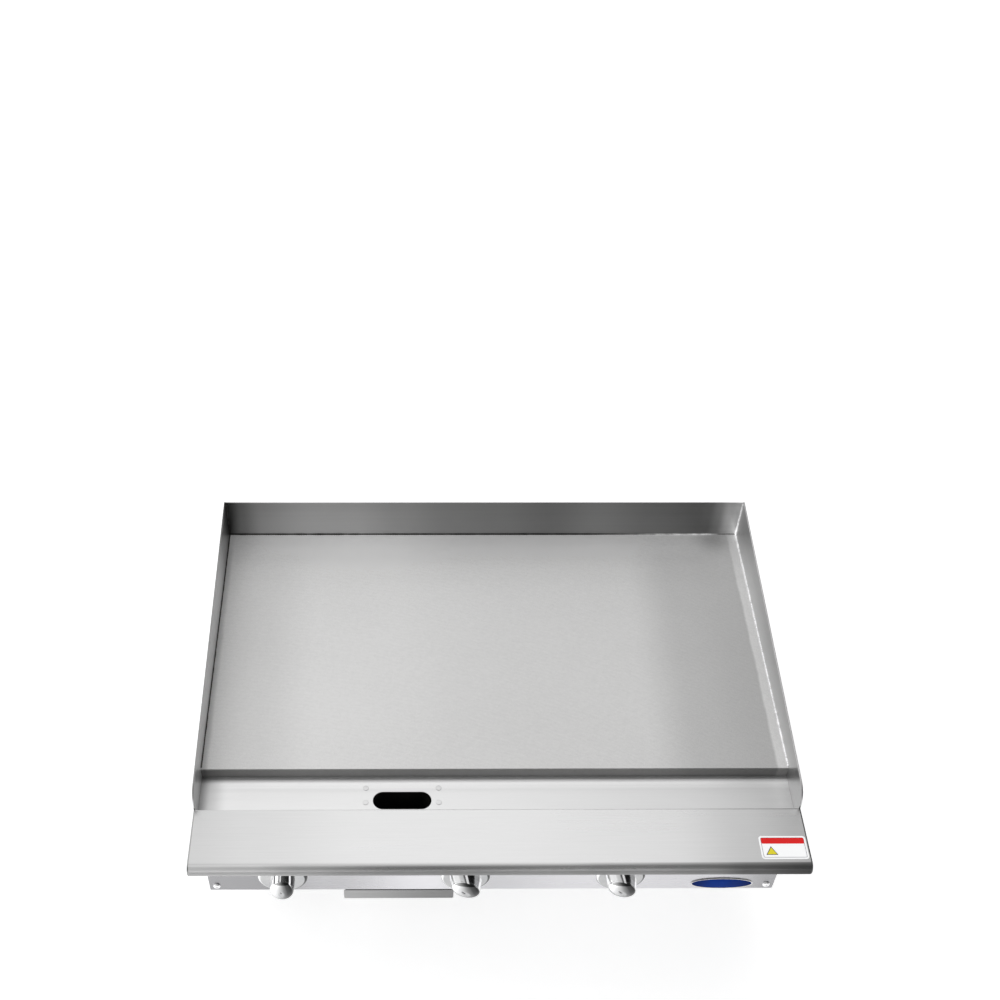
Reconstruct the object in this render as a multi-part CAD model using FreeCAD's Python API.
import FreeCAD, Part
import math
import os
from FreeCAD import Vector

# Counter-top gas griddle, 36 inch, three burners. Millimetres.
# +Z up, +Y towards the back, +X to the right seen from the front.
# Origin: centre of the overall footprint (front rail nose to gas inlet stub), at counter level.
# Every depth below (Y) is measured back from the plate's front edge; point() places it in the frame.

# ---------------------------------------------------------------- cooking top
WIDTH = 914.0            # overall, over the splash guards
Y_PLATE = -203.5         # front edge of the griddle plate, in the frame
PLATE_D = 508.0          # cooking depth
PLATE_T = 19.0
Z_PLATE = 308.0          # cooking surface
SPLASH_T = 2.5           # splash guard sheet
SPLASH_REAR = 78.0       # splash height above the plate at the back
SPLASH_FRONT = 42.0      # splash height above the plate at the plate's front edge
SPLASH_R = 30.0          # rounded front end of the side splashes
Z_SKIRT = 276.0          # lower edge of the side splashes
TROUGH_W = 74.5          # grease trough, plate front edge to the rail
HALF_W = WIDTH / 2.0
SPLASH_IN = HALF_W - SPLASH_T       # inner face of the side splashes
SPLASH_END = PLATE_D + SPLASH_T     # rear face of the splashes
Z_FLOOR = Z_PLATE - PLATE_T         # plate underside and trough floor

HOLE_X, HOLE_Y = -144.0, -44.0      # grease hole centre
HOLE_L, HOLE_W = 89.7, 31.4         # grease hole, obround
RIVETS = [(HOLE_X + side * 56.0, y) for side in (-1, 1) for y in (-21.5, -47.5)]

# ---------------------------------------------------------------- body
BODY_W = 908.0
HALF_BODY = BODY_W / 2.0
SHEET = 1.5              # body sheet metal
BEND_IN = 1.0            # inside bend radius
BEND_OUT = BEND_IN + SHEET
PANEL_BEND = 2.0         # outside bend radius of the front panel
MID_ARC = 1 - math.sqrt(0.5)        # middle of a unit corner arc, inwards from both sides
RAIL_R = 12.5            # front rail bullnose radius
Z_RAIL = 312.5           # top of the front rail
Z_RAIL_LOW = Z_RAIL - 2 * RAIL_R
Y_NOSE = -166.0          # where the flat top of the rail meets the bullnose
CAP_T = 2.5              # rail end cap thickness
Y_PANEL = -88.0          # front panel, outer face
Y_PANEL_IN = Y_PANEL + SHEET
Y_REAR = 548.0           # rear panel, outer face
Y_REAR_IN = Y_REAR - SHEET
Z_BODY = 96.0            # underside of the body
Z_CHANNEL = Z_BODY + SHEET          # underside of the base rails
Z_FLUE = 348.0           # top of the rear panel
FLANGE_X = 432.0         # inner edge of the side panel flanges
CLEAR_X = 431.0          # half length of the flanges that fit between them

PANEL_SCREW_X = 442.0
FRONT_SCREW_Z = (111.0, 270.0)
REAR_SCREW_Z = (125.0, 230.0, 325.0)
RAIL_SCREW_X, RAIL_SCREW_Y = (-380, -190, 60, 300), -83.5

LEG_X, LEG_Y_FRONT, LEG_Y_REAR = 395.0, 10.0, 470.0
Z_LEG = 27.0             # lower end of the legs
LEG_BORE_R, FOOT_ROD_R = 8.06, 8.0

TRAY_X0, TRAY_X1 = -239.4, -61.6    # grease tray front
TRAY_Z0, TRAY_Z1 = 68.7, 94.5
TRAY_BACK = 330.0
TRAY_T = 1.2             # tray sheet

# ---------------------------------------------------------------- gas train and controls
SIDES = ("left", "centre", "right")
KNOB_X = (-332.0, -45.0, 199.0)
KNOB_TURN = (0.0, 45.0, 45.0)       # degrees anticlockwise from the bar standing upright
BURNER_X = (-303.0, 0.0, 303.0)
Z_KNOB = 165.0           # control axis and manifold height
Z_BURNER = 210.0         # burner tube axis
BURNER_R, INLET_R = 19.0, 15.0
LEG_TUBE_DX = 75.0       # burner leg tubes, either side of the inlet
MANIFOLD_Y = -8.0
MANIFOLD_R, MANIFOLD_BORE = 10.65, 7.9    # 1/2 in nominal pipe
SUPPLY_X = 425.0
SUPPLY_R, SUPPLY_BORE = 13.35, 10.45      # 3/4 in nominal pipe
ELBOW_BORE = 7.5
STUB_Y = 585.5           # end of the gas inlet stub
THREAD_R, THREAD_L = 13.0, 28.0     # threaded end of the inlet
OUTLET_Y = -46.0         # valve outlet and burner gas tube
PILOT_DX = 60.0          # pilot valve, right of its knob
PILOT_OUTLET_Y = -29.0
PILOT_BURNER_DX = 28.0   # pilot burner, right of the burner's axis
Z_PILOT = 238.0
STEM_R, STEM_BORE_R = 4.0, 4.05

KNOB_R = 38.9
KNOB_BACK, KNOB_SKIRT, KNOB_DOME, KNOB_NOSE = -90.3, -108.0, -126.0, -136.0


# ---------------------------------------------------------------- helpers
def point(x, y, z):
    """Frame point from a depth measured back from the plate's front edge."""
    return Vector(x, Y_PLATE + y, z)


def box(x0, x1, y0, y1, z0, z1):
    """Box between limits; the X pair and the Y pair may come in either order."""
    x0, x1 = sorted((x0, x1))
    y0, y1 = sorted((y0, y1))
    return Part.makeBox(x1 - x0, y1 - y0, z1 - z0, point(x0, y0, z0))


def cyl_x(y, z, radius, x0, x1):
    return Part.makeCylinder(radius, x1 - x0, point(x0, y, z), Vector(1, 0, 0))


def cyl_y(x, z, radius, y0, y1):
    """Cylinder along Y; the limits may come in either order."""
    y0, y1 = sorted((y0, y1))
    return Part.makeCylinder(radius, y1 - y0, point(x, y0, z), Vector(0, 1, 0))


def cyl_z(x, y, radius, z0, z1):
    return Part.makeCylinder(radius, z1 - z0, point(x, y, z0), Vector(0, 0, 1))


def fuse(shapes):
    return shapes[0].multiFuse(shapes[1:]).removeSplitter()


def prism_yz(profile, x0, x1):
    """Closed side profile extruded along X. A step is (y, z) for a line to that point,
    or (y_mid, z_mid, y, z) for an arc through the first point to the second."""
    x0, x1 = sorted((x0, x1))
    start = here = point(x0, *profile[0])
    edges = []
    for step in profile[1:]:
        end = point(x0, *step[-2:])
        if len(step) == 4:
            edges.append(Part.Arc(here, point(x0, *step[:2]), end).toShape())
        else:
            edges.append(Part.makeLine(here, end))
        here = end
    edges.append(Part.makeLine(here, start))
    return Part.Face(Part.Wire(edges)).extrude(Vector(x1 - x0, 0, 0))


def obround_z(x, y, length, width, z0, z1):
    """Upright prism with an obround outline, long side along X."""
    radius = width / 2.0
    reach = length / 2.0 - radius
    return fuse([cyl_z(x - reach, y, radius, z0, z1),
                 cyl_z(x + reach, y, radius, z0, z1),
                 box(x - reach, x + reach, y - radius, y + radius, z0, z1)])


def hex_prism(x, y, radius, z, height):
    corners = []
    for i in range(7):
        angle = math.radians(60 * i)
        corners.append(point(x + radius * math.cos(angle), y + radius * math.sin(angle), z))
    return Part.Face(Part.makePolygon(corners)).extrude(Vector(0, 0, height))


def tube(points, radius, bore):
    """Round tube along a polyline with ball elbows."""
    def rod(rod_radius):
        path = [point(*p) for p in points]
        parts = [Part.makeCylinder(rod_radius, (b - a).Length, a, b - a)
                 for a, b in zip(path[:-1], path[1:])]
        parts += [Part.makeSphere(rod_radius, p) for p in path[1:-1]]
        return fuse(parts)
    return rod(radius).cut(rod(bore))


def edges_at_y(shape, y, min_length=0.0):
    return [e for e in shape.Edges
            if abs(e.CenterOfMass.y - Y_PLATE - y) < 0.01 and e.Length > min_length]


def edges_at_z(shape, z, min_length=0.0):
    return [e for e in shape.Edges
            if abs(e.CenterOfMass.z - z) < 0.01 and e.Length > min_length]


def safe_fillet(shape, radius, edges):
    """Fillet, or the plain shape where the kernel fails or returns a broken solid."""
    try:
        out = shape.makeFillet(radius, edges)
        if out.isValid() and out.Volume > 0 and len(out.Solids) == len(shape.Solids):
            return out
    except Exception:
        pass
    return shape


def panel_screw_holes(sides, heights, y0, y1):
    return [cyl_y(side * PANEL_SCREW_X, z, 2.6, y0, y1) for side in sides for z in heights]


def rail_screw_holes():
    return [cyl_z(x, RAIL_SCREW_Y, 2.1, Z_RAIL_LOW - 5, Z_RAIL_LOW + 5) for x in RAIL_SCREW_X]


def rivet_holes():
    return [cyl_z(x, y, 2.05, Z_FLOOR - 10, Z_FLOOR + 5) for x, y in RIVETS]


# ---------------------------------------------------------------- cooking top
def griddle_plate():
    plate = box(-SPLASH_IN, SPLASH_IN, 0, PLATE_D, Z_FLOOR, Z_PLATE)
    front_top = [e for e in edges_at_y(plate, 0) if abs(e.CenterOfMass.z - Z_PLATE) < 0.01]
    return plate.makeChamfer(1.2, front_top)


def side_splash(side):
    """Side splash: top edge falls towards the front and rounds down at the front end."""
    slope = (SPLASH_REAR - SPLASH_FRONT) / SPLASH_END
    tilt = math.atan(slope)

    def top_at(y):
        return Z_PLATE + SPLASH_FRONT + slope * y

    y_arc = -TROUGH_W + SPLASH_R
    z_arc = top_at(y_arc) - SPLASH_R / math.cos(tilt)
    middle = math.radians(135) + tilt / 2
    splash = prism_yz([
        (-TROUGH_W, Z_SKIRT),
        (SPLASH_END, Z_SKIRT),
        (SPLASH_END, top_at(SPLASH_END)),
        (y_arc - SPLASH_R * math.sin(tilt), z_arc + SPLASH_R * math.cos(tilt)),
        (y_arc + SPLASH_R * math.cos(middle), z_arc + SPLASH_R * math.sin(middle),
         -TROUGH_W, z_arc),
    ], side * SPLASH_IN, side * HALF_W)
    top = [e for e in splash.Edges if e.BoundBox.XLength < 0.01
           and e.BoundBox.ZMin > z_arc - 0.1 and e.BoundBox.YLength > 5]
    return safe_fillet(splash, 0.6, top)


def back_splash():
    z_top = Z_PLATE + SPLASH_REAR
    splash = box(-SPLASH_IN, SPLASH_IN, PLATE_D, SPLASH_END, Z_FLOOR, z_top)
    return safe_fillet(splash, 0.6, edges_at_z(splash, z_top, 100))


# ---------------------------------------------------------------- grease trough and chute
def grease_trough():
    """Sheet floor with an upstand along its front edge."""
    half = SPLASH_IN - 0.1
    rear = -TROUGH_W - 1.6       # upstand faces
    front = rear - SHEET
    z_under = Z_FLOOR - SHEET
    z_top = Z_RAIL - 2.8
    trough = prism_yz([
        (12, z_under),
        (12, Z_FLOOR),
        (rear + BEND_IN, Z_FLOOR),
        (rear + MID_ARC * BEND_IN, Z_FLOOR + MID_ARC * BEND_IN, rear, Z_FLOOR + BEND_IN),
        (rear, z_top),
        (front, z_top),
        (front, Z_FLOOR + BEND_IN),
        (front + MID_ARC * BEND_OUT, z_under + MID_ARC * BEND_OUT, rear + BEND_IN, z_under),
    ], -half, half)
    hole = obround_z(HOLE_X, HOLE_Y, HOLE_L, HOLE_W, Z_FLOOR - 10, Z_FLOOR + 10)
    return trough.cut([hole] + rivet_holes())


def grease_chute():
    z_top = Z_FLOOR - SHEET
    duct = obround_z(HOLE_X, HOLE_Y, HOLE_L + 2.4, HOLE_W + 2.4, 98.0, z_top)
    bore = obround_z(HOLE_X, HOLE_Y, HOLE_L, HOLE_W, 90.0, Z_FLOOR + 1)
    flange = box(HOLE_X - 66, HOLE_X + 66, -65, -14, z_top - SHEET, z_top)
    return fuse([duct, flange]).cut([bore] + rivet_holes())


def chute_rivet(x, y):
    head = cyl_z(x, y, 4.5, Z_FLOOR, Z_FLOOR + 0.6)
    head = safe_fillet(head, 0.45, edges_at_z(head, Z_FLOOR + 0.6))
    shank = cyl_z(x, y, 2.0, Z_FLOOR - 4.0, Z_FLOOR + 0.1)
    return fuse([head, shank, cyl_z(x, y, 3.4, Z_FLOOR - 4.6, Z_FLOOR - 3.0)])


# ---------------------------------------------------------------- front rail
def front_rail():
    """Folded sheet: rear lip, flat top, full-round nose and underside."""
    rear, top, low = -TROUGH_W, Z_RAIL, Z_RAIL_LOW
    inside = SHEET + MID_ARC * BEND_IN
    half = HALF_W - CAP_T
    rail = prism_yz([
        (rear, 300),
        (rear, top - BEND_OUT),
        (rear - MID_ARC * BEND_OUT, top - MID_ARC * BEND_OUT, rear - BEND_OUT, top),
        (Y_NOSE, top),
        (Y_NOSE - RAIL_R, top - RAIL_R, Y_NOSE, low),
        (-80, low),
        (-80, low + SHEET),
        (Y_NOSE, low + SHEET),
        (Y_NOSE - RAIL_R + SHEET, top - RAIL_R, Y_NOSE, top - SHEET),
        (rear - BEND_OUT, top - SHEET),
        (rear - inside, top - inside, rear - SHEET, top - BEND_OUT),
        (rear - SHEET, 300),
    ], -half, half)
    return rail.cut(rail_screw_holes())


def rail_end_cap(side):
    cap = prism_yz([
        (-TROUGH_W, Z_RAIL),
        (Y_NOSE, Z_RAIL),
        (Y_NOSE - RAIL_R, Z_RAIL - RAIL_R, Y_NOSE, Z_RAIL_LOW),
        (-TROUGH_W, Z_RAIL_LOW),
    ], side * (HALF_W - CAP_T), side * HALF_W)
    # outer rim, except the straight rear edge
    rim = [e for e in cap.Edges
           if e.BoundBox.XLength < 0.01 and abs(e.BoundBox.XMin - side * HALF_W) < 0.01
           and e.BoundBox.YMin < Y_PLATE + Y_NOSE + 1
           and e.BoundBox.YMax < Y_PLATE - TROUGH_W + 0.1]
    return safe_fillet(cap, 2.0, rim)


# ---------------------------------------------------------------- body shell
def front_panel():
    top, low = Z_RAIL_LOW, Z_BODY
    mid = MID_ARC * PANEL_BEND
    panel = prism_yz([
        (-70, top),
        (Y_PANEL + PANEL_BEND, top),
        (Y_PANEL + mid, top - mid, Y_PANEL, top - PANEL_BEND),
        (Y_PANEL, low + PANEL_BEND),
        (Y_PANEL + mid, low + mid, Y_PANEL + PANEL_BEND, low),
        (-62, low),
        (-62, low + SHEET),
        (Y_PANEL_IN, low + SHEET),
        (Y_PANEL_IN, top - SHEET),
        (-70, top - SHEET),
    ], -HALF_BODY, HALF_BODY)
    cuts = [cyl_y(x, Z_KNOB, 8.0, -95, -80) for x in KNOB_X]
    cuts += [cyl_y(x + PILOT_DX, Z_KNOB, 4.5, -95, -80) for x in KNOB_X]
    cuts += panel_screw_holes((-1, 1), FRONT_SCREW_Z, -95, -80)
    cuts += rail_screw_holes()
    # clear the folded flanges where the side panels stand
    cuts += [box(side * (HALF_BODY - SHEET - 0.1), side * (HALF_BODY + 1),
                 Y_PANEL_IN - 0.01, -55, low - 1, top + 1) for side in (-1, 1)]
    return panel.cut(cuts)


def supply_hole():
    """Hole for the supply pipe through the rear sheets."""
    return cyl_y(SUPPLY_X, Z_KNOB, 15.0, 530, 560)


def side_panel(side):
    """Side web with inward flanges at the front, top, bottom and rear."""
    z_front = Z_FLOOR - SHEET - 0.1
    web = prism_yz([
        (Y_PANEL_IN, Z_BODY), (Y_REAR_IN, Z_BODY), (Y_REAR_IN, Z_FLUE), (511.5, Z_FLUE),
        (511.5, Z_FLOOR), (13, Z_FLOOR), (13, z_front), (Y_PANEL_IN, z_front),
    ], side * HALF_BODY, side * (HALF_BODY - SHEET))

    def flange(*limits):
        return box(side * FLANGE_X, side * (HALF_BODY - SHEET + 0.01), *limits)

    panel = fuse([web,
                  flange(Y_PANEL_IN, Y_PANEL_IN + SHEET, 98, 285.5),
                  flange(14, 507, Z_FLOOR - SHEET, Z_FLOOR),
                  flange(-60, Y_REAR_IN, Z_BODY, Z_BODY + SHEET),
                  flange(Y_REAR_IN - SHEET, Y_REAR_IN, Z_BODY, 345)])
    cuts = panel_screw_holes((side,), FRONT_SCREW_Z, -95, -80)
    cuts += panel_screw_holes((side,), REAR_SCREW_Z, 540, 550)
    if side > 0:
        cuts.append(supply_hole())
    return panel.cut(cuts)


def rear_panel():
    """Rear sheet with a forward top flange and three rows of eight obround slots."""
    rear = fuse([box(-HALF_BODY, HALF_BODY, Y_REAR_IN, Y_REAR, Z_BODY, Z_FLUE),
                 box(-CLEAR_X, CLEAR_X, 536, Y_REAR_IN, Z_FLUE - SHEET, Z_FLUE)])
    cuts = [supply_hole()] + panel_screw_holes((-1, 1), REAR_SCREW_Z, 540, 550)
    for row in range(3):
        for column in range(8):
            x = -315 + column * 90.0
            z = 222.0 + row * 22.0
            cuts.append(fuse([box(x - 30, x + 30, 540, 556, z - 3, z + 3),
                              cyl_y(x - 30, z, 3, 540, 556),
                              cyl_y(x + 30, z, 3, 540, 556)]))
    return rear.cut(cuts)


def base_rail(leg_y):
    """Upturned channel across the body that carries two legs."""
    y0, y1 = leg_y - 30, leg_y + 30
    channel = fuse([box(-452, 452, y0, y1, Z_CHANNEL, Z_CHANNEL + 2),
                    box(-452, 452, y0, y0 + 2, Z_CHANNEL, 120),
                    box(-452, 452, y1 - 2, y1, Z_CHANNEL, 120)])
    return channel.cut([cyl_z(side * LEG_X, leg_y, 5.2, 90, 110) for side in (-1, 1)])


def burner_box_baffle():
    """Front wall of the burner box, under the plate's front."""
    baffle = fuse([box(-451, 451, 48, 49.5, 121.2, Z_FLOOR),
                   box(-CLEAR_X, CLEAR_X, 49.5, 75, Z_FLOOR - SHEET, Z_FLOOR)])
    cuts = [cyl_y(x, Z_BURNER, 15.6, 40, 60) for x in BURNER_X]
    cuts += [cyl_y(x + PILOT_BURNER_DX, Z_PILOT, 3.5, 40, 60) for x in BURNER_X]
    cuts += [cyl_y(SUPPLY_X, Z_KNOB, 14.5, 40, 60)]
    # corner notches for the side panels' top flanges
    cuts += [box(side * CLEAR_X, side * 460, 40, 60, Z_FLOOR - SHEET - 0.2, Z_FLOOR + 1)
             for side in (1, -1)]
    return baffle.cut(cuts)


def plate_support_rear():
    return fuse([box(-CLEAR_X, CLEAR_X, 478, 503, Z_FLOOR - SHEET, Z_FLOOR),
                 box(-CLEAR_X, CLEAR_X, 478, 479.5, 262, Z_FLOOR)])


# ---------------------------------------------------------------- burners
def air_holes(x, y_end):
    """Centre hole and four windows around it, in a burner's inlet end."""
    holes = [cyl_y(x, Z_BURNER, 6.6, 10, y_end)]
    for degrees in (45, 135, 225, 315):
        angle = math.radians(degrees)
        holes.append(cyl_y(x + 10.1 * math.cos(angle), Z_BURNER + 10.1 * math.sin(angle),
                           3.0, 10, y_end))
    return holes


def burner(x):
    legs = (x - LEG_TUBE_DX, x + LEG_TUBE_DX)

    def body(inset, y_open, y_front, y_end):
        """Inlet tube, cross tube and two leg tubes, radii reduced by inset."""
        return fuse([cyl_y(x, Z_BURNER, INLET_R - inset, y_open, 105),
                     cyl_x(105, Z_BURNER, BURNER_R - 1.0 - inset, *legs)]
                    + [cyl_y(leg, Z_BURNER, BURNER_R - inset, y_front, y_end) for leg in legs])

    shell = body(0.0, 16, 84, 455).cut(body(1.2, 10, 85.2, 453.8))
    ports = [box(leg - 7, leg + 7, 130 + 20 * i, 131.5 + 20 * i, Z_BURNER + 14, Z_BURNER + 25)
             for leg in legs for i in range(16)]
    shell = shell.cut(ports)
    pins = [cyl_y(leg, Z_BURNER, 4.0, 454.5, 470) for leg in legs]
    spider = cyl_y(x, Z_BURNER, INLET_R - 0.1, 16, 17.2).cut(air_holes(x, 20))
    return fuse([shell, spider] + pins)


def air_shutter(x):
    """Cup over the burner's inlet end, with a tab on top."""
    cup = cyl_y(x, Z_BURNER, 16.4, 12, 32).cut(cyl_y(x, Z_BURNER, INLET_R + 0.06, 13.2, 33))
    tab = box(x - 1.0, x + 1.0, 20, 28, Z_BURNER + 16.0, Z_BURNER + 22.5)
    return fuse([cup, tab]).cut(air_holes(x, 15))


def burner_rear_bracket():
    """Angle across the back with holes for the burners' rear pins."""
    bracket = fuse([box(-400, 400, 461, 462.5, 195, 232),
                    box(-400, 400, 462.5, 477, 195, 196.5)])
    return bracket.cut([cyl_y(x + dx, Z_BURNER, 4.3, 455, 470)
                        for x in BURNER_X for dx in (-LEG_TUBE_DX, LEG_TUBE_DX)])


# ---------------------------------------------------------------- gas train
def gas_manifold():
    """Pipe with a plugged left end and a tapped boss behind each valve."""
    pipe = cyl_x(MANIFOLD_Y, Z_KNOB, MANIFOLD_R, -400, 410)
    plug = cyl_x(MANIFOLD_Y, Z_KNOB, 13.0, -409, -400)
    bosses = [cyl_y(x, Z_KNOB, 10.0, -24, MANIFOLD_Y) for x in KNOB_X]
    bore = cyl_x(MANIFOLD_Y, Z_KNOB, MANIFOLD_BORE, -397, 411)
    taps = [cyl_y(x, Z_KNOB, 6.06, -30, MANIFOLD_Y) for x in KNOB_X]
    return fuse([pipe, plug] + bosses).cut([bore] + taps)


def pipe_elbow():
    corner = point(SUPPLY_X, MANIFOLD_Y, Z_KNOB)
    elbow = fuse([cyl_x(MANIFOLD_Y, Z_KNOB, 16.0, 394, SUPPLY_X),
                  cyl_y(SUPPLY_X, Z_KNOB, 18.0, MANIFOLD_Y, 26),
                  Part.makeSphere(18.0, corner)])
    return elbow.cut([cyl_x(MANIFOLD_Y, Z_KNOB, MANIFOLD_R + 0.05, 390, 410.1),
                      cyl_x(MANIFOLD_Y, Z_KNOB, ELBOW_BORE, 400, SUPPLY_X),
                      Part.makeSphere(ELBOW_BORE, corner),
                      cyl_y(SUPPLY_X, Z_KNOB, ELBOW_BORE, MANIFOLD_Y, 20),
                      cyl_y(SUPPLY_X, Z_KNOB, SUPPLY_R + 0.05, 10, 30)])


def supply_pipe():
    thread_y = STUB_Y - THREAD_L
    pipe = fuse([cyl_y(SUPPLY_X, Z_KNOB, SUPPLY_R, 10.1, thread_y),
                 cyl_y(SUPPLY_X, Z_KNOB, THREAD_R, thread_y - 1, STUB_Y)])
    pipe = pipe.makeChamfer(1.2, edges_at_y(pipe, STUB_Y, 50))
    return pipe.cut(cyl_y(SUPPLY_X, Z_KNOB, SUPPLY_BORE, 5, 600))


def gas_valve(x):
    """Body, front neck, rear nipple into the manifold and upright outlet."""
    valve = fuse([cyl_y(x, Z_KNOB, 13.0, -70, -28),
                  cyl_y(x, Z_KNOB, 9.0, -79, -69),
                  cyl_y(x, Z_KNOB, 6.0, -29, -17.5),
                  cyl_z(x, OUTLET_Y, 7.5, Z_KNOB, Z_KNOB + 19)])
    return valve.cut([cyl_y(x, Z_KNOB, STEM_BORE_R, -80, -46),
                      cyl_z(x, OUTLET_Y, 4.06, Z_KNOB + 14, Z_KNOB + 20)])


def burner_gas_tube(x_valve, x_burner):
    return tube([(x_valve, OUTLET_Y, Z_KNOB + 15), (x_valve, OUTLET_Y, Z_BURNER),
                 (x_burner, OUTLET_Y, Z_BURNER), (x_burner, -2.1, Z_BURNER)], 4.0, 3.0)


def orifice_fitting(x):
    fitting = fuse([box(x - 8, x + 8, -2, 8, Z_BURNER - 8, Z_BURNER + 8),
                    cyl_y(x, Z_BURNER, 6.0, 8, 22)])
    return fitting.cut([cyl_y(x, Z_BURNER, 3.0, -3, 18), cyl_y(x, Z_BURNER, 1.0, 17, 23)])


def pilot_valve(x):
    body = fuse([cyl_y(x, Z_KNOB, 6.0, -40, -18.8),
                 cyl_z(x, PILOT_OUTLET_Y, 3.6, Z_KNOB, Z_KNOB + 12)])
    return body.cut([cyl_y(x, Z_KNOB, 2.06, -41, -30),
                     cyl_z(x, PILOT_OUTLET_Y, 2.45, Z_KNOB + 9, Z_KNOB + 13)])


def pilot_screw(x):
    screw = fuse([cyl_y(x, Z_KNOB, 2.0, -46, -31), cyl_y(x, Z_KNOB, 3.6, -50, -46)])
    return screw.cut(box(x - 0.5, x + 0.5, -51, -48.8, Z_KNOB - 4, Z_KNOB + 4))


def pilot_tube(x_valve, x_end):
    y = PILOT_OUTLET_Y
    return tube([(x_valve, y, Z_KNOB + 9.1), (x_valve, y, Z_PILOT),
                 (x_end, y, Z_PILOT), (x_end, 70, Z_PILOT)], 2.4, 1.6)


def pilot_burner(x):
    hood = fuse([cyl_y(x, Z_PILOT, 4.6, 70.1, 84),
                 box(x - 6, x + 6, 84, 98, 233.4, 234.6),
                 box(x - 4.6, x + 4.6, 80, 84, 233.4, Z_PILOT)])
    return hood.cut([cyl_y(x, Z_PILOT, 1.6, 69, 90)])


# ---------------------------------------------------------------- control knobs
def bar_wire(y, half_width, half_length):
    """Closed smooth oval outline of the bar grip at depth y."""
    count = 40
    points = []
    for i in range(count):
        angle = 2 * math.pi * i / count
        points.append(point(half_width * math.cos(angle), y,
                            Z_KNOB + half_length * math.sin(angle)))
    curve = Part.BSplineCurve()
    curve.interpolate(Points=points, PeriodicFlag=True)
    return Part.Wire([curve.toShape()])


def upright_knob():
    """Round skirt and a thick bar grip across it, tapering to a domed, notched front."""
    skirt = cyl_y(0, Z_KNOB, KNOB_R, KNOB_SKIRT, KNOB_BACK)
    skirt = skirt.makeFillet(5.0, edges_at_y(skirt, KNOB_SKIRT))
    grip = Part.makeLoft([bar_wire(KNOB_SKIRT + 4.0, 19.8, 33.0),
                          bar_wire(-116.0, 19.2, 29.8),
                          bar_wire(KNOB_DOME, 18.6, 26.0)], True, False)
    squash = FreeCAD.Matrix()
    squash.scale(18.4, KNOB_DOME - KNOB_NOSE, 25.7)
    dome = Part.makeSphere(1.0, Vector(0, 0, 0), Vector(0, 1, 0)).transformGeometry(squash)
    dome.translate(point(0, KNOB_DOME, Z_KNOB))
    # hollow back around a hub
    under = cyl_y(0, Z_KNOB, 24.0, KNOB_BACK - 3.0, KNOB_BACK + 1).cut(
        cyl_y(0, Z_KNOB, 9.0, KNOB_BACK - 4.0, KNOB_BACK + 2))
    stem_bore = cyl_y(0, Z_KNOB, STEM_R + 0.03, -117.5, -88)
    notch = box(-1.3, 1.3, KNOB_NOSE - 1, KNOB_NOSE + 1.6, Z_KNOB + 1.5, Z_KNOB + 9.5)
    return fuse([skirt, grip, dome]).cut([under, stem_bore, notch])


def placed_knob(knob, x, turn):
    turned = knob.copy()
    turned.rotate(Vector(0, 0, Z_KNOB), Vector(0, -1, 0), turn)
    turned.translate(Vector(x, 0, 0))
    return turned


# ---------------------------------------------------------------- grease tray
def grease_tray():
    x0, x1 = TRAY_X0 + 6.0, TRAY_X1 - 6.0      # outside of the pan
    front_in = Y_PANEL + TRAY_T
    z_rim = 93.0
    pan = box(x0, x1, front_in, TRAY_BACK, TRAY_Z0, z_rim).cut(
        box(x0 + TRAY_T, x1 - TRAY_T, front_in + TRAY_T, TRAY_BACK - TRAY_T,
            TRAY_Z0 + TRAY_T, z_rim + 1))
    rims = [box(TRAY_X0, x0 + TRAY_T, -60, TRAY_BACK, z_rim - TRAY_T, z_rim),
            box(x1 - TRAY_T, TRAY_X1, -60, TRAY_BACK, z_rim - TRAY_T, z_rim)]
    front = box(TRAY_X0, TRAY_X1, Y_PANEL, front_in, TRAY_Z0, TRAY_Z1)
    corners = [e for e in front.Edges if e.BoundBox.XLength < 0.01
               and e.BoundBox.ZLength < 0.01 and e.BoundBox.YLength > 1]
    front = safe_fillet(front, 3.0, corners)
    lip = box(TRAY_X0, TRAY_X1, front_in, -80.0, TRAY_Z1 - TRAY_T, TRAY_Z1)
    # stop the lip short of the front's rounded corners
    lip = lip.cut([box(TRAY_X0 - 1, TRAY_X0 + 3.0, -87, -79, 90, 96),
                   box(TRAY_X1 - 3.0, TRAY_X1 + 1, -87, -79, 90, 96)])
    return fuse([pan, front, lip] + rims)


def tray_rail(x, side):
    """Z-section rail: web, outward flange on top, inward ledge under the tray rim."""
    return fuse([box(x + side * 1.0, x + side * 2.5, -58, 495, 90.0, Z_BODY + SHEET),
                 box(x + side * 2.5, x + side * 18.0, -58, 495, Z_BODY, Z_BODY + SHEET),
                 box(x - side * 4.0, x + side * 1.0, -58, 495, 90.0, 91.4)])


# ---------------------------------------------------------------- legs and levelling feet
def leg(x, y):
    z_flange = Z_CHANNEL - 3.0
    flange = box(x - 27, x + 27, y - 27, y + 27, z_flange, Z_CHANNEL)
    flange = safe_fillet(flange, 8.0, [e for e in flange.Edges if e.BoundBox.ZLength > 2
                                       and e.BoundBox.XLength < 0.01])
    column = Part.makeCone(17.5, 20.5, z_flange - Z_LEG - 4.0,
                           point(x, y, Z_LEG + 4.0), Vector(0, 0, 1))
    collar = cyl_z(x, y, 18.5, Z_LEG, Z_LEG + 6.0)
    collar = safe_fillet(collar, 1.2, [e for e in collar.Edges if e.Length > 50])
    stud = cyl_z(x, y, 5.0, Z_CHANNEL - 1, Z_CHANNEL + 14)
    return fuse([flange, column, collar, stud]).cut(cyl_z(x, y, LEG_BORE_R, Z_LEG - 1, 82))


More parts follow.
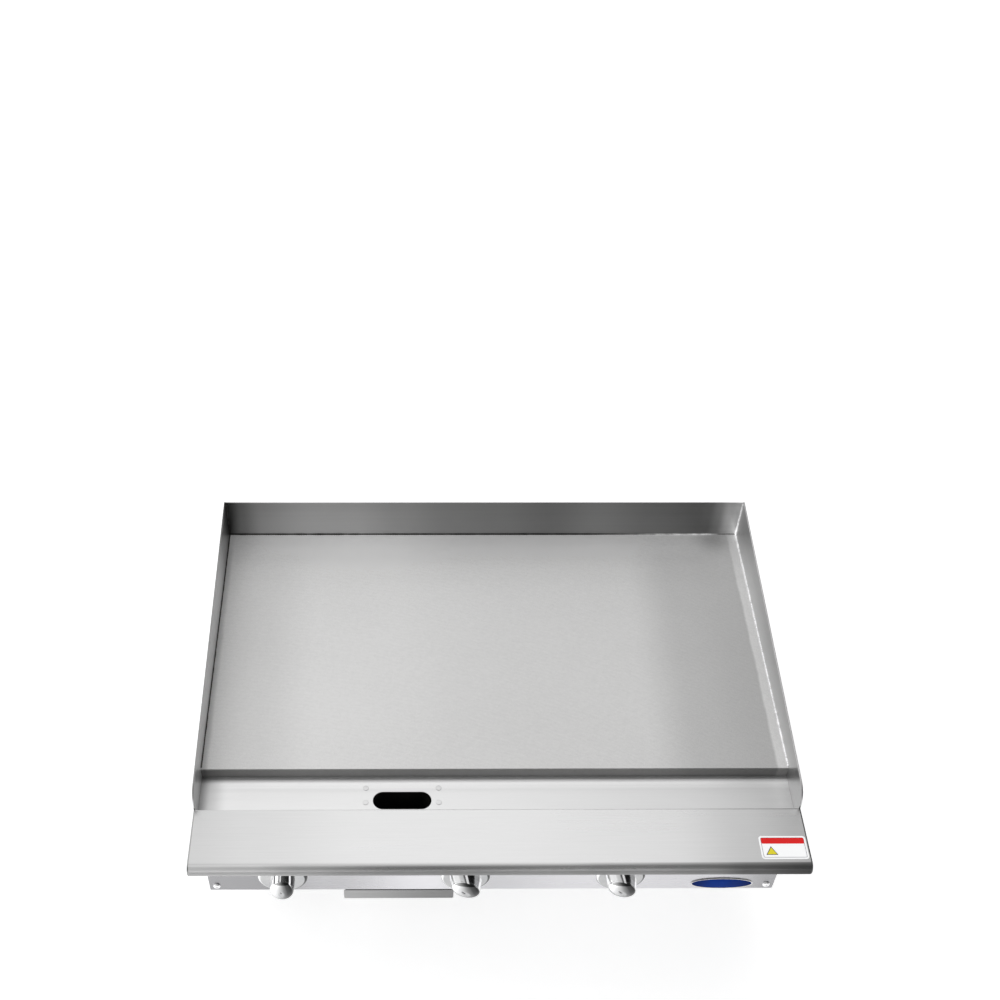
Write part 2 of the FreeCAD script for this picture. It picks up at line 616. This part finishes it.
def foot(x, y):
    return fuse([cyl_z(x, y, 17.5, 0, 3.0),
                 Part.makeCone(17.5, 15.0, 9.0, point(x, y, 3.0), Vector(0, 0, 1)),
                 hex_prism(x, y, 15.6, 12, 10),
                 cyl_z(x, y, 13.0, 22, 26),
                 cyl_z(x, y, FOOT_ROD_R, 25, 78)])


def leg_nut(x, y):
    return hex_prism(x, y, 9.8, Z_CHANNEL + 2, 8).cut(cyl_z(x, y, 5.05, 90, 120))


# ---------------------------------------------------------------- fasteners and badge
def panel_screw(x, z, y_face, out):
    """Dome-headed cross-slot screw; out is -1 facing the front, 1 facing the back."""
    head_r, head_h, slot = 6.0, 3.2, 0.6
    reach = head_r * 0.5
    y_tip = y_face + out * head_h
    head = cyl_y(x, z, head_r, y_face, y_tip)
    head = safe_fillet(head, head_h * 0.8, edges_at_y(head, y_tip))
    shank = cyl_y(x, z, 2.5, y_face + out * 0.5, y_face - out * 10)
    y0, y1 = y_tip + out, y_tip - out * 1.2
    return fuse([head, shank]).cut([box(x - reach, x + reach, y0, y1, z - slot, z + slot),
                                    box(x - slot, x + slot, y0, y1, z - reach, z + reach)])


def rail_screw(x):
    z = Z_RAIL_LOW - SHEET
    return fuse([cyl_z(x, RAIL_SCREW_Y, 2.9, z - 2.4, z),
                 cyl_z(x, RAIL_SCREW_Y, 2.0, z - 0.5, Z_RAIL_LOW + SHEET + 2.5)])


def badge_plate():
    """Oval plate low on the right of the front panel."""
    centre = point(369.6, Y_PANEL, 114.4)
    thickness = 1.6
    outline = Part.Ellipse(centre, 50.0, 15.6).toShape()
    outline.rotate(centre, Vector(1, 0, 0), 90)
    badge = Part.Face(Part.Wire([outline])).extrude(Vector(0, -thickness, 0))
    return safe_fillet(badge, 0.7, edges_at_y(badge, Y_PANEL - thickness))


# ---------------------------------------------------------------- assembly
group = Part.makeCompound
parts = {
    "griddle_plate": griddle_plate(),
    "back_splash": back_splash(),
    "grease_trough": grease_trough(),
    "grease_chute": grease_chute(),
    "chute_rivets": group([chute_rivet(x, y) for x, y in RIVETS]),
    "front_rail": front_rail(),
    "front_panel": front_panel(),
    "rear_panel": rear_panel(),
    "base_rail_front": base_rail(LEG_Y_FRONT),
    "base_rail_rear": base_rail(LEG_Y_REAR),
    "bottom_shield": box(-430, 430, 42, 538, 120, 121.2),
    "burner_box_baffle": burner_box_baffle(),
    "plate_support_rear": plate_support_rear(),
    "burner_rear_bracket": burner_rear_bracket(),
    "gas_manifold": gas_manifold(),
    "pipe_elbow": pipe_elbow(),
    "supply_pipe": supply_pipe(),
    "burner_gas_tubes": group([burner_gas_tube(*pair) for pair in zip(KNOB_X, BURNER_X)]),
    "orifice_fittings": group([orifice_fitting(x) for x in BURNER_X]),
    "pilot_valves": group([pilot_valve(x + PILOT_DX) for x in KNOB_X]),
    "pilot_tubes": group([pilot_tube(x_knob + PILOT_DX, x_burner + PILOT_BURNER_DX)
                          for x_knob, x_burner in zip(KNOB_X, BURNER_X)]),
    "pilot_burners": group([pilot_burner(x + PILOT_BURNER_DX) for x in BURNER_X]),
    "grease_tray": grease_tray(),
    "tray_rails": group([tray_rail(TRAY_X0, -1), tray_rail(TRAY_X1, 1)]),
    "panel_screws": group([panel_screw(side * PANEL_SCREW_X, z, y_face, out)
                           for y_face, out, heights in ((Y_PANEL, -1, FRONT_SCREW_Z),
                                                        (Y_REAR, 1, REAR_SCREW_Z))
                           for side in (-1, 1) for z in heights]),
    "rail_screws": group([rail_screw(x) for x in RAIL_SCREW_X]),
    "badge_plate": badge_plate(),
}

nuts = []
for hand, side in (("left", -1), ("right", 1)):
    parts["side_splash_" + hand] = side_splash(side)
    parts["rail_end_cap_" + hand] = rail_end_cap(side)
    parts["side_panel_" + hand] = side_panel(side)
    for end, y in (("front_", LEG_Y_FRONT), ("rear_", LEG_Y_REAR)):
        parts["leg_" + end + hand] = leg(side * LEG_X, y)
        parts["foot_" + end + hand] = foot(side * LEG_X, y)
        nuts.append(leg_nut(side * LEG_X, y))
parts["leg_nuts"] = group(nuts)

knob = upright_knob()
for name, x_knob, x_burner, turn in zip(SIDES, KNOB_X, BURNER_X, KNOB_TURN):
    parts["burner_" + name] = burner(x_burner)
    parts["air_shutter_" + name] = air_shutter(x_burner)
    parts["gas_valve_" + name] = gas_valve(x_knob)
    parts["valve_stem_" + name] = cyl_y(x_knob, Z_KNOB, STEM_R, -117, -46.5)
    parts["pilot_screw_" + name] = pilot_screw(x_knob + PILOT_DX)
    parts["knob_" + name] = placed_knob(knob, x_knob, turn)

os.makedirs("parts", exist_ok=True)
for name, shape in parts.items():
    solids = shape.Solids
    node = group(solids) if len(solids) > 1 else solids[0]
    node.exportStep("parts/" + name + ".step")
